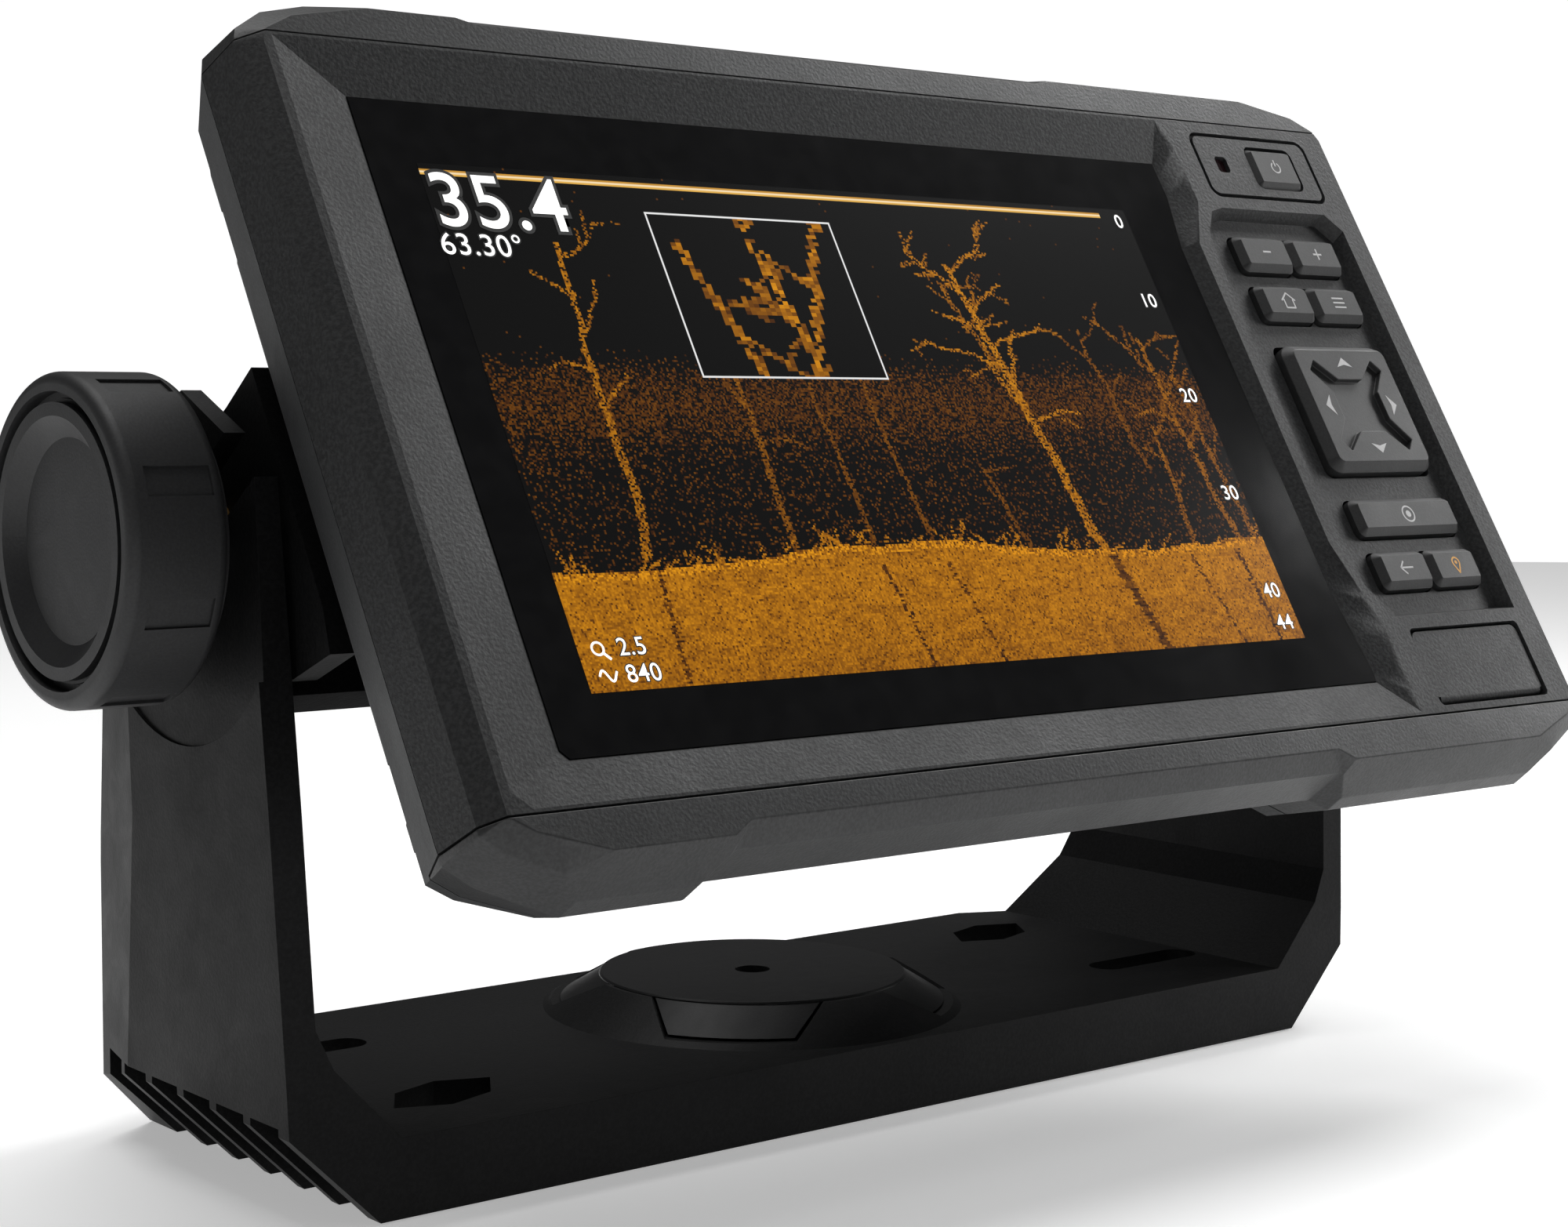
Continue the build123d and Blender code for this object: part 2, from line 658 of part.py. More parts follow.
def bail_bracket():
    body = along_y(front_profile(), -HALF_DEPTH, HALF_DEPTH)
    body &= along_x(side_profile(), -130, 130)
    body &= extrude(Polygon(*plan_profile(), align=None), amount=140, dir=(0, 0, 1))
    body -= along_y(inner_profile(), -60, 60)
    # hollow under the floor
    body -= block(-88, 88, -HALF_DEPTH + 3, HALF_DEPTH - 3, -5, FLOOR_Z - FLOOR_T)
    # bosses round the fixing holes
    upright = (Align.CENTER, Align.CENTER, Align.MIN)
    for x, y, _, _ in FLOOR_HOLES:
        boss = Pos(x, y, 0) * Cylinder(8.6, FLOOR_Z - DECK_GAP - 1, align=upright)
        body += boss & block(-90, 90, -34, 34, DECK_GAP, FLOOR_Z - 1)
    # dome over the swivel base
    dome_rise = DISC_Z - FLOOR_Z - 0.3
    body += Pos(0, 0, FLOOR_Z) * Cone(DOME_R, DISC_R + 0.9, dome_rise, align=upright)
    body -= Pos(0, 0, FLOOR_Z - FLOOR_T) * Cone(DOME_R - 0.8, DISC_R - 1.4, dome_rise, align=upright)
    cap_seat = Pos(0, 0, 5) * Cylinder(DISC_R + 0.25, 20, align=upright)
    body -= cap_seat & block(-40, 40, -40, 40, DISC_Z - 2.5, 40)
    body -= Cylinder(DISC_R - 4.0, 20, align=upright)
    # four windows in the dome, filled by the cap's tabs
    for angle in TAB_ANGLES:
        body -= Rot(0, 0, angle) * dome_window(0)
    # fixing holes
    for x, y, turn, lens in FLOOR_HOLES:
        body -= floor_hole(x, y, turn, lens)
    # arms
    for side in (-1, 1):
        body -= arm_slot(min(side * 125, side * 90), max(side * 125, side * 90))
        # shallow round relief under the knob
        relief = x_pin(105.4, 115, PIVOT_Y, PIVOT_Z, 27.6)
        if side < 0:
            relief = mirror(relief, Plane.YZ)
        body -= relief
        # open pockets between the ribs in the lower corner
        for i in range(6):
            y0 = -32.4 + i * 9.3
            pocket = [
                (side * 120, -5),
                (side * 86, -5),
                (side * 89.5, FLOOR_Z - 4.6),
                (side * 98.4, 14.5),
                (side * 120, 14.0),
            ]
            body -= along_y(pocket, y0, y0 + 7.4)
    return body


def swivel_base():
    """Disc screwed to the deck; the bracket turns on its hub."""
    align = (Align.CENTER, Align.CENTER, Align.MIN)
    disc = Cylinder(BASE_R, BASE_T, align=align)
    disc += Cylinder(DISC_R - 4.3, 13.0, align=align)
    disc -= Pos(0, 0, 5) * (Cylinder(DISC_R - 6.8, 20, align=align) - Cylinder(6.0, 20, align=align))
    disc -= Pos(0, 0, 5) * Cylinder(1.7, 20, align=align)
    for angle in (0, 90, 180, 270):
        spot = Rot(0, 0, angle) * Pos(26.0, 0, 0)
        disc -= spot * Cylinder(2.4, 3 * BASE_T, align=align)
        disc -= spot * Pos(0, 0, BASE_T - 1.6) * Cone(2.4, 4.1, 1.7, align=align)
    # index teeth round the rim
    for i in range(24):
        disc += Rot(0, 0, 7.5 + 15 * i) * Pos(BASE_R - 1.4, 0, BASE_T - 0.2) * Box(2.0, 1.2, 1.4)
    return disc


def swivel_cap():
    """Flat cap keyed into the dome by four tabs; it turns with the bracket over the base."""
    align = (Align.CENTER, Align.CENTER, Align.MIN)
    cap = Pos(0, 0, DISC_Z - 2.2) * Cylinder(DISC_R, 2.2, align=align)
    cap += Pos(0, 0, 13.1) * Cylinder(DISC_R - 4.4, 1.4, align=align)
    cap -= Cylinder(2.8, 30, align=align)
    cap = chamfer(cap.faces().sort_by(Axis.Z)[-1].outer_wire().edges(), 0.3)
    skirt = Pos(0, 0, FLOOR_Z) * Cone(DOME_R - 0.9, DISC_R - 0.1, DISC_Z - FLOOR_Z - 0.4, align=align)
    skirt -= Cylinder(DISC_R - 2.6, 30, align=align)
    for angle in TAB_ANGLES:
        cap += skirt & (Rot(0, 0, angle) * dome_window(0.35))
    return cap


def swivel_screw():
    align = (Align.CENTER, Align.CENTER, Align.MIN)
    screw = Pos(0, 0, 5.4) * Cylinder(1.6, 7.6, align=align)
    screw += Pos(0, 0, 13.0) * Cylinder(2.5, 2.0, align=align)
    screw -= Pos(0, 0, 14.0) * extrude(RegularPolygon(1.3, 6), amount=3)
    return screw


# ---------------------------------------------------------------------------
# Cradle: carries the head between the arms, with one ear at each side
# ---------------------------------------------------------------------------
EAR_OUT = 100.4
EAR_T = 4.0
CRADLE_FRONT_N = -41.4      # just clear of the ribs on the head's back
LEVER_U = -20.4             # pivot pin of the release lever
LEVER_N = -50.0


def head_along_x(points, x0, x1):
    """Solid across the head from an outline in u and n."""
    outline = Polygon(*[(-n, u) for u, n in points], align=None)
    return extrude(Plane.YZ.offset(x0) * outline, amount=x1 - x0, dir=(1, 0, 0))


def cradle_ear(side):
    """Ear plate from beside the housing back to the tilt axis."""
    outline = [
        (23.0, -25.5),
        (22.0, -34.0),
        (PIVOT_U + 12.5, PIVOT_N - 6.0),
        (PIVOT_U + 7.0, PIVOT_N - 12.0),
        (PIVOT_U - 7.0, PIVOT_N - 12.0),
        (PIVOT_U - 13.0, PIVOT_N - 5.0),
        (-16.5, -38.0),
        (-18.0, -27.0),
        (-12.0, -25.5),
    ]
    x0 = MID + side * EAR_OUT
    x1 = MID + side * (EAR_OUT - EAR_T)
    return head_along_x(outline, min(x0, x1), max(x0, x1))


def cradle_frame():
    back_n = -47.0
    body = bar(MID - 96.5, MID + 96.5, -17.0, 22.0, back_n, CRADLE_FRONT_N)
    for side in (-1, 1):
        x0 = MID + side * EAR_OUT
        x1 = MID + side * 92.5
        web = bar(min(x0, x1), max(x0, x1), -17.0, 22.0, back_n, CRADLE_FRONT_N)
        body += web
        body += cradle_ear(side)
        # hub around the tilt axis
        hub_in = MID + side * 88.0
        hub = extrude(Plane.YZ.offset(min(hub_in, x0)) * Pos(-PIVOT_N, PIVOT_U) * Circle(11.0),
                      amount=abs(x0 - hub_in))
        body += hub
    # pocket for the contact block and lightening pockets
    body -= bar(MID - 23.0, MID + 23.0, -8.0, 14.0, back_n + 2.0, CRADLE_FRONT_N + 1)
    for side in (-1, 1):
        for k in range(2):
            a = MID + side * (30 + 27 * k)
            b = MID + side * (53 + 27 * k)
            body -= bar(min(a, b), max(a, b), -13, 18, back_n - 1, back_n + 2.6)
    # bore for the threaded insert at each ear
    for side in (-1, 1):
        x0 = MID + side * (EAR_OUT + 1)
        x1 = MID + side * 89.5
        start = Plane.YZ.offset(min(x0, x1)) * Pos(-PIVOT_N, PIVOT_U)
        body -= extrude(start * Circle(5.0), amount=abs(x1 - x0))
    # cable inlets pass through the back wall
    for dx in (-12.0, 12.0):
        body -= head_pin(MID + dx, 3.0, back_n - 2, back_n + 4, 7.3)
    # cheeks that hold the lever's pin
    for side in (-1, 1):
        x0 = MID + side * 12.8
        x1 = MID + side * 15.8
        cheek = bar(min(x0, x1), max(x0, x1), LEVER_U - 3.4, -16.5, LEVER_N - 3.0, -43.5)
        cheek += bar(min(x0, x1), max(x0, x1), LEVER_U - 3.4, -10.0, LEVER_N - 3.0, back_n + 0.5)
        cheek -= extrude(Plane.YZ.offset(min(x0, x1) - 1) * Pos(-LEVER_N, LEVER_U) * Circle(1.2), amount=6)
        body += cheek
    return body


def insert_bush(side):
    """Brass insert, its flange riding in the arm's slot."""
    x0 = MID + side * 90.0
    x1 = MID + side * (EAR_OUT + 4.4)
    start = Plane.YZ.offset(min(x0, x1)) * Pos(-PIVOT_N, PIVOT_U)
    bush = extrude(start * Circle(4.95), amount=abs(x1 - x0))
    end = MID + side * EAR_OUT
    tail = extrude(Plane.YZ.offset(min(end, x1)) * Pos(-PIVOT_N, PIVOT_U) * (Circle(6) - Circle(4.3)),
                   amount=abs(x1 - end))
    bush -= tail
    hole = extrude(Plane.YZ.offset(min(x0, x1) - 1) * Pos(-PIVOT_N, PIVOT_U) * Circle(STUD_R + 0.05),
                   amount=abs(x1 - x0) + 2)
    return bush - hole


def release_lever():
    """Thumb lever under the cradle; its toe bears against the head's catch rail."""
    outline = [
        (-18.2, -51.2),
        (-18.2, -48.8),
        (-21.5, -46.6),
        (-21.4, -39.6),
        (-22.6, -38.8),
        (-24.2, -39.6),
        (-24.4, -45.5),
        (-33.5, -49.0),
        (-34.5, -51.8),
        (-32.5, -52.6),
        (-24.4, -52.2),
        (-21.0, -52.4),
    ]
    lever = head_along_x(outline, MID - 12.4, MID + 12.4)
    pin_hole = extrude(Plane.YZ.offset(MID - 20) * Pos(-LEVER_N, LEVER_U) * Circle(1.25), amount=40)
    return lever - pin_hole


def lever_spring():
    """Coil on the lever's pin with one leg against the cradle."""
    x0 = MID + 16.0
    ring = Plane.YZ.offset(x0) * Pos(-LEVER_N, LEVER_U) * (Circle(2.3) - Circle(1.5))
    coil = extrude(ring, amount=2.4)
    return coil + bar(x0 + 0.2, x0 + 1.0, LEVER_U + 1.6, LEVER_U + 9.0, LEVER_N + 1.0, LEVER_N + 1.8)


def build_cradle():
    save_head(cradle_frame(), "cradle_frame")
    save_head([insert_bush(-1), insert_bush(1)], "threaded_inserts")
    contact = bar(MID - 22.6, MID + 22.6, -7.6, 13.6, -44.8, -38.6)
    contact += bar(MID - 19.8, MID + 19.8, -4.8, 10.8, -38.6, -34.2)
    pins = []
    for i in range(6):
        x = MID - 12.5 + 5 * i
        contact -= head_pin(x, 3, -42, -33, 0.95)
        pins.append(head_pin(x, 3, -41.5, -33.6, 0.8))
    save_head(contact, "contact_block")
    save_head(pins, "contact_pins")
    seal = bar(MID - 22.2, MID + 22.2, -7.2, 13.2, -38.5, -37.7)
    seal -= bar(MID - 20, MID + 20, -5, 11, -39, -37)
    save_head(seal, "contact_seal")
    inlets = []
    for dx in (-12.0, 12.0):
        inlet = head_pin(MID + dx, 3.0, -52.0, -44.9, 7.1) - head_pin(MID + dx, 3.0, -53.0, -47.0, 5.6)
        for angle in range(0, 360, 90):
            px = MID + dx + 2.6 * cos(radians(angle))
            pu = 3.0 + 2.6 * sin(radians(angle))
            inlet += head_pin(px, pu, -50.5, -47.0, 0.6)
        inlets.append(inlet)
    save_head(inlets, "cable_inlets")
    save_head(release_lever(), "release_lever")
    pin = extrude(Plane.YZ.offset(MID - 15.6) * Pos(-LEVER_N, LEVER_U) * Circle(1.19), amount=35.0)
    save_head(pin, "lever_pin")
    save_head(lever_spring(), "lever_spring")


# ---------------------------------------------------------------------------
# Clamp knobs
# ---------------------------------------------------------------------------
def knob_grip():
    """Rubber ring of the right-hand knob, with shallow finger slots."""
    ring = x_pin(KNOB_IN, KNOB_OUT, PIVOT_Y, PIVOT_Z, KNOB_R)
    ring -= x_pin(KNOB_IN - 1, KNOB_OUT - 1.4, PIVOT_Y, PIVOT_Z, 18.4)
    ring -= x_pin(KNOB_OUT - 2, KNOB_OUT + 1, PIVOT_Y, PIVOT_Z, 19.3)
    rims = ring.edges().filter_by(GeomType.CIRCLE)
    outer_edge = rims.filter_by(lambda edge: abs(edge.radius - KNOB_R) < 0.01)
    ring = fillet(outer_edge, 1.5)
    for i in range(8):
        angle = radians(22.5 + 45 * i)
        y = PIVOT_Y + (KNOB_R + 0.9) * cos(angle)
        z = PIVOT_Z + (KNOB_R + 0.9) * sin(angle)
        slot = Pos((KNOB_IN + KNOB_OUT) / 2 - 0.6, y, z) * Rot(degrees(angle), 0, 0) * Box(9.0, 2.8, 4.0)
        ring -= slot
    return ring


def knob_core():
    """Hard hub with a dished face."""
    core = x_pin(KNOB_IN - 1.6, KNOB_OUT - 0.2, PIVOT_Y, PIVOT_Z, 18.35)
    step = x_pin(KNOB_OUT - 1.7, KNOB_OUT + 1, PIVOT_Y, PIVOT_Z, 20)
    core -= step - x_pin(KNOB_OUT - 3, KNOB_OUT + 2, PIVOT_Y, PIVOT_Z, 17.9)
    dish = Plane.YZ.offset(KNOB_OUT - 2.4) * Pos(PIVOT_Y, PIVOT_Z) * Circle(13.4)
    wide = Plane.YZ.offset(KNOB_OUT) * Pos(PIVOT_Y, PIVOT_Z) * Circle(16.4)
    core -= loft([dish, wide])
    # hollow behind, leaving the hub
    hollow = x_pin(KNOB_IN - 3, KNOB_OUT - 5, PIVOT_Y, PIVOT_Z, 15.6)
    core -= hollow - x_pin(KNOB_IN - 4, KNOB_OUT, PIVOT_Y, PIVOT_Z, 8.0)
    core -= x_pin(KNOB_IN - 4, KNOB_OUT - 6, PIVOT_Y, PIVOT_Z, STUD_R + 0.02)
    return core


def knob_stud():
    return x_pin(92.0, KNOB_OUT - 6.0, PIVOT_Y, PIVOT_Z, STUD_R)


def knob_washer():
    washer = x_pin(105.7, KNOB_IN - 1.65, PIVOT_Y, PIVOT_Z, 9.0)
    return washer - x_pin(100, 120, PIVOT_Y, PIVOT_Z, STUD_R + 0.2)


def build_knobs():
    makers = {"grip": knob_grip, "core": knob_core, "stud": knob_stud, "washer": knob_washer}
    for name, make in makers.items():
        right = make()
        save(right, "knob_" + name + "_right")
        save(mirror(right, Plane.YZ), "knob_" + name + "_left")


build_head()
build_cradle()
build_knobs()
save(bail_bracket(), "bail_bracket")
save(swivel_base(), "swivel_base")
save(swivel_cap(), "swivel_cap")
save(swivel_screw(), "swivel_screw")
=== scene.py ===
import json
import math

import bmesh
import bpy
import numpy as np
from mathutils import Matrix, Vector


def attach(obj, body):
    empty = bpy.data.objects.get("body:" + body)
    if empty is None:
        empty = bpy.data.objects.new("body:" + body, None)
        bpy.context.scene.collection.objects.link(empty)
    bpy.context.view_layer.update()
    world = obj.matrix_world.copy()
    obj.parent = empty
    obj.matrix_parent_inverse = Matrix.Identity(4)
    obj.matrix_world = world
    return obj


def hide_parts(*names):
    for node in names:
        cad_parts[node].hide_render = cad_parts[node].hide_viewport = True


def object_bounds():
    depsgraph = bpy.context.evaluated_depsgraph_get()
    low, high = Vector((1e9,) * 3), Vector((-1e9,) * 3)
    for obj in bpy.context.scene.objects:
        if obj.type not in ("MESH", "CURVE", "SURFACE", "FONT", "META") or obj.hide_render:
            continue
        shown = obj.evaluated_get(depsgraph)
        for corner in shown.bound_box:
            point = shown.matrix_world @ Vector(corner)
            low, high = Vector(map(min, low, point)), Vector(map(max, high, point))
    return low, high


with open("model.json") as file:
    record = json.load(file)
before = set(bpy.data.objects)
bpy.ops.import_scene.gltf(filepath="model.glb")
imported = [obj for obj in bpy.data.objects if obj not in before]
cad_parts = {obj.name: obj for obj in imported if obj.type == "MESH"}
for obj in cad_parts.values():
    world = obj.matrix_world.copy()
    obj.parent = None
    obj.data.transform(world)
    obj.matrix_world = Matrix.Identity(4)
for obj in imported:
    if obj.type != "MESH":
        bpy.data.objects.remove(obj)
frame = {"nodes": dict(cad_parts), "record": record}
cad_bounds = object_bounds()
scene = bpy.context.scene
scene.view_settings.view_transform = "Standard"
rng = np.random.default_rng(7)
MM = 0.001

# ---------------------------------------------------------------------------
# Camera
# ---------------------------------------------------------------------------
CAMERA_AT = Vector((-0.2761, -0.3424, 0.1091))
LENS = 63.43            # focal length, mm
SENSOR_W = 36
YAW = math.radians(39.5)
PITCH = math.radians(4.56)
ROLL = math.radians(0.37)
forward = Vector((math.sin(YAW) * math.cos(PITCH), math.cos(YAW) * math.cos(PITCH), -math.sin(PITCH)))
level = Vector((math.cos(YAW), -math.sin(YAW), 0))
over = level.cross(forward)
right = level * math.cos(ROLL) + over * math.sin(ROLL)
up = over * math.cos(ROLL) - level * math.sin(ROLL)
camera_data = bpy.data.cameras.new("camera")
camera_data.lens = LENS
camera_data.sensor_width = SENSOR_W
camera_data.clip_start = 0.01
camera = bpy.data.objects.new("camera", camera_data)
scene.collection.objects.link(camera)
turn = Matrix((right, up, -forward)).transposed().to_4x4()
camera.matrix_world = Matrix.Translation(CAMERA_AT) @ turn
scene.camera = camera

# ---------------------------------------------------------------------------
# The head's own frame: x right, u up the display, n out of it
# ---------------------------------------------------------------------------
joints = {j["name"]: j for j in frame["record"]["behaviour"]["joints"]}
N = Vector(joints["head_release"]["axis"]).normalized()
U = Vector(joints["dpad_left_right"]["axis"]).normalized()
X = Vector((1, 0, 0))


def span(node):
    """Lowest and highest x, u and n of a CAD node."""
    points = [v.co for v in frame["nodes"][node].data.vertices]
    return [(min(p.dot(a) for p in points), max(p.dot(a) for p in points)) for a in (X, U, N)]


panel = span("lcd_panel")
glass = span("display_glass")
ACTIVE_W = 0.131
ACTIVE_H = 0.076
PANEL_BORDER = 0.003
centre = X * (panel[0][0] + PANEL_BORDER + ACTIVE_W / 2) + U * (sum(panel[1]) / 2) + N * glass[2][1]
HEAD = Matrix.Translation(centre) @ Matrix((X, U, N)).transposed().to_4x4()


# ---------------------------------------------------------------------------
# Materials
# ---------------------------------------------------------------------------
def new_material(name):
    """Material with its node tree and its one shader."""
    material = bpy.data.materials.new(name)
    material.use_nodes = True
    tree = material.node_tree
    return material, tree, tree.nodes["Principled BSDF"]


def grained(name, colour, rough, grain=2600, bump=0.25, speckle=0.25, spread=0.08, metallic=0.0, scuff=0.5,
            specular=0.5):
    """Moulded or machined surface: fine grain, colour speckle, uneven roughness and faint scuffs."""
    material, tree, shader = new_material(name)
    nodes = tree.nodes
    links = tree.links
    coords = nodes.new("ShaderNodeTexCoord")
    fine = nodes.new("ShaderNodeTexNoise")
    fine.inputs["Scale"].default_value = grain
    fine.inputs["Detail"].default_value = 3
    links.new(coords.outputs["Object"], fine.inputs["Vector"])
    broad = nodes.new("ShaderNodeTexNoise")
    broad.inputs["Scale"].default_value = 45
    broad.inputs["Detail"].default_value = 4
    links.new(coords.outputs["Object"], broad.inputs["Vector"])
    ramp = nodes.new("ShaderNodeMapRange")
    ramp.inputs["From Min"].default_value = 0.38
    ramp.inputs["From Max"].default_value = 0.66
    links.new(fine.outputs["Fac"], ramp.inputs["Value"])
    mix = nodes.new("ShaderNodeMix")
    mix.data_type = "RGBA"
    mix.inputs["A"].default_value = [c * (1 - speckle) for c in colour] + [1]
    mix.inputs["B"].default_value = [c * (1 + speckle) + 0.002 for c in colour] + [1]
    links.new(ramp.outputs["Result"], mix.inputs["Factor"])
    links.new(mix.outputs["Result"], shader.inputs["Base Color"])
    scratch = nodes.new("ShaderNodeTexNoise")
    scratch.inputs["Scale"].default_value = 160
    scratch.inputs["Detail"].default_value = 6
    scratch.inputs["Distortion"].default_value = 1.5
    links.new(coords.outputs["Object"], scratch.inputs["Vector"])
    both = nodes.new("ShaderNodeMath")
    both.operation = "MULTIPLY_ADD"
    both.inputs[1].default_value = scuff
    links.new(scratch.outputs["Fac"], both.inputs[0])
    links.new(broad.outputs["Fac"], both.inputs[2])
    wear = nodes.new("ShaderNodeMapRange")
    wear.inputs["From Min"].default_value = 0.45
    wear.inputs["From Max"].default_value = 1.05
    wear.inputs["To Min"].default_value = rough - spread
    wear.inputs["To Max"].default_value = rough + spread
    links.new(both.outputs["Value"], wear.inputs["Value"])
    links.new(wear.outputs["Result"], shader.inputs["Roughness"])
    relief = nodes.new("ShaderNodeBump")
    relief.inputs["Strength"].default_value = bump
    relief.inputs["Distance"].default_value = 0.00012
    links.new(fine.outputs["Fac"], relief.inputs["Height"])
    links.new(relief.outputs["Normal"], shader.inputs["Normal"])
    shader.inputs["Metallic"].default_value = metallic
    shader.inputs["Specular IOR Level"].default_value = specular
    return material


CASE = grained("case", (0.022, 0.0225, 0.023), 0.55, grain=1900, bump=0.6, speckle=0.35,
               specular=0.36)
TRIM = grained("trim", (0.022, 0.0225, 0.023), 0.5, grain=2100, bump=0.45, speckle=0.25)
BACK = grained("back", (0.026, 0.027, 0.028), 0.6, bump=0.35, speckle=0.3)
KEY = grained("key", (0.018, 0.0182, 0.0185), 0.5, bump=0.15, speckle=0.15)
BRACKET = grained("bracket", (0.004, 0.0041, 0.0043), 0.5, grain=1900, bump=0.3, speckle=0.25,
                  specular=0.15)
CAP = grained("cap", (0.006, 0.006, 0.0063), 0.42, bump=0.12, speckle=0.15, specular=0.2)
GRIP = grained("grip", (0.017, 0.0172, 0.018), 0.55, bump=0.2, speckle=0.15)
HUB = grained("hub", (0.011, 0.0112, 0.012), 0.5, bump=0.2, speckle=0.15)
DARK = grained("dark", (0.015, 0.015, 0.016), 0.6)
STEEL = grained("steel", (0.55, 0.55, 0.56), 0.3, bump=0.1, speckle=0.06, metallic=1.0)
BRASS = grained("brass", (0.72, 0.52, 0.25), 0.3, bump=0.1, speckle=0.06, metallic=1.0)
BOARD = grained("board", (0.01, 0.09, 0.04), 0.4)
GLASS = grained("glass", (0.005, 0.005, 0.0054), 0.13, grain=300, bump=0.004, speckle=0.05, spread=0.03,
                specular=0.3)
SENSOR = grained("sensor", (0.02, 0.006, 0.008), 0.15, bump=0.02, spread=0.04)
WHITE_INK = grained("white_ink", (0.55, 0.55, 0.55), 0.5, bump=0.05, speckle=0.05)
AMBER_INK = grained("amber_ink", (0.7, 0.33, 0.02), 0.5, bump=0.05, speckle=0.05)

LOOKS = {
    CASE: ["front_bezel", "card_door"],
    TRIM: ["top_trim_cap", "bottom_trim_cap"],
    BACK: ["rear_housing"],
    KEY: ["key_power", "key_minus", "key_plus", "key_home", "key_menu", "key_select", "key_back",
          "key_mark", "key_dpad", "dpad_rocker"],
    BRACKET: ["bail_bracket", "cradle_frame", "release_lever", "swivel_base"],
    CAP: ["swivel_cap"],
    GRIP: ["knob_grip_left", "knob_grip_right", "glass_gasket", "housing_seal", "contact_seal",
           "vent_membrane"],
    HUB: ["knob_core_left", "knob_core_right"],
    STEEL: ["swivel_screw", "knob_stud_left", "knob_stud_right", "knob_washer_left",
            "knob_washer_right", "case_screws", "board_screws", "lever_pin", "lever_spring",
            "display_chassis", "sonar_shield_can", "card_reader"],
    BRASS: ["threaded_inserts", "contact_pads", "contact_pins", "board_standoffs"],
    BOARD: ["main_board", "keypad_board"],
    GLASS: ["display_glass"],
    SENSOR: ["light_sensor_window"],
    DARK: ["lcd_panel", "backlight_unit", "gps_antenna", "buzzer", "key_switches", "contact_plate",
           "contact_block", "cable_inlets"],
}
BODY_OF = {n: b for b, members in frame["record"]["behaviour"]["bodies"].items() for n in members}


def dress(node, material):
    """Give a CAD node its material."""
    mesh = frame["nodes"][node].data
    mesh.materials.clear()
    mesh.materials.append(material)
    mesh.polygons.foreach_set("material_index", [0] * len(mesh.polygons))


def sharp_edges(work, narrow):
    """Edges to round: real corners, not the steps between the strips of a curved face."""
    found = []
    for edge in work.edges:
        if len(edge.link_faces) != 2:
            continue
        angle = edge.calc_face_angle(0)
        width = min(f.calc_area() / max(e.calc_length() for e in f.edges) for f in edge.link_faces)
        if angle > math.radians(30) or (angle > math.radians(5) and width > narrow):
            found.append(edge)
    return found


def soften(node, material, width, narrow=1.3 * MM):
    """Copy of a CAD node with its sharp edges rounded as a moulding's are."""
    mesh = frame["nodes"][node].data.copy()
    mesh.materials.clear()
    mesh.materials.append(material)
    work = bmesh.new()
    work.from_mesh(mesh)
    bmesh.ops.remove_doubles(work, verts=work.verts, dist=1e-6)
    if node not in PIERCED:
        bmesh.ops.dissolve_limit(work, angle_limit=math.radians(0.6), verts=work.verts, edges=work.edges)
    weights = work.edges.layers.float.new("bevel_weight_edge")
    for edge in sharp_edges(work, narrow):
        edge[weights] = 1
    for face in work.faces:
        face.material_index = 0
        face.smooth = True
    work.to_mesh(mesh)
    work.free()
    if "custom_normal" in mesh.attributes:
        mesh.attributes.remove(mesh.attributes["custom_normal"])
    piece = bpy.data.objects.new(node + "_moulded", mesh)
    scene.collection.objects.link(piece)
    bevel = piece.modifiers.new("edges", "BEVEL")
    bevel.width = width * MM
    bevel.segments = 2
    bevel.limit_method = "WEIGHT"
    bevel.harden_normals = True
    bevel.miter_outer = "MITER_ARC"
    flat = piece.modifiers.new("flat faces", "WEIGHTED_NORMAL")
    flat.weight = 90
    bpy.context.view_layer.update()
    shaped = bpy.data.meshes.new_from_object(piece.evaluated_get(bpy.context.evaluated_depsgraph_get()))
    piece.modifiers.clear()
    piece.data = shaped
    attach(piece, BODY_OF[node])
    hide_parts(node)


# width of the rounded edges, mm
SOFTENED = {
    "front_bezel": 0.35,
    "top_trim_cap": 0.5,
    "bottom_trim_cap": 0.5,
    "rear_housing": 0.4,
    "bail_bracket": 0.6,
    "cradle_frame": 0.6,
    "card_door": 0.3,
    "key_dpad": 0.45,
    "swivel_cap": 0.25,
    "release_lever": 0.5,
}
FLAT_KEYS = [name for name in LOOKS[KEY] if name not in ("key_dpad", "dpad_rocker")]
for name in FLAT_KEYS:
    SOFTENED[name] = 0.35
# these nodes have flat faces that run round an opening, which stay in triangles
PIERCED = ["cradle_frame", "rear_housing"] + FLAT_KEYS
for material, names in LOOKS.items():
    for name in names:
        dress(name, material)
        if name in SOFTENED:
            soften(name, material, SOFTENED[name])


# ---------------------------------------------------------------------------
# Flat pieces laid on the head: icons, figures and the picture
# ---------------------------------------------------------------------------
def lay(name, verts, faces, material, body, lift):
    """Mesh from points in x and u (mm), laid lift mm in front of the glass."""
    mesh = bpy.data.meshes.new(name)
    mesh.from_pydata([(x * MM, u * MM, lift * MM) for x, u in verts], [], faces)
    mesh.materials.append(material)
    piece = bpy.data.objects.new(name, mesh)
    scene.collection.objects.link(piece)
    piece.matrix_world = HEAD
    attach(piece, body)
    return piece


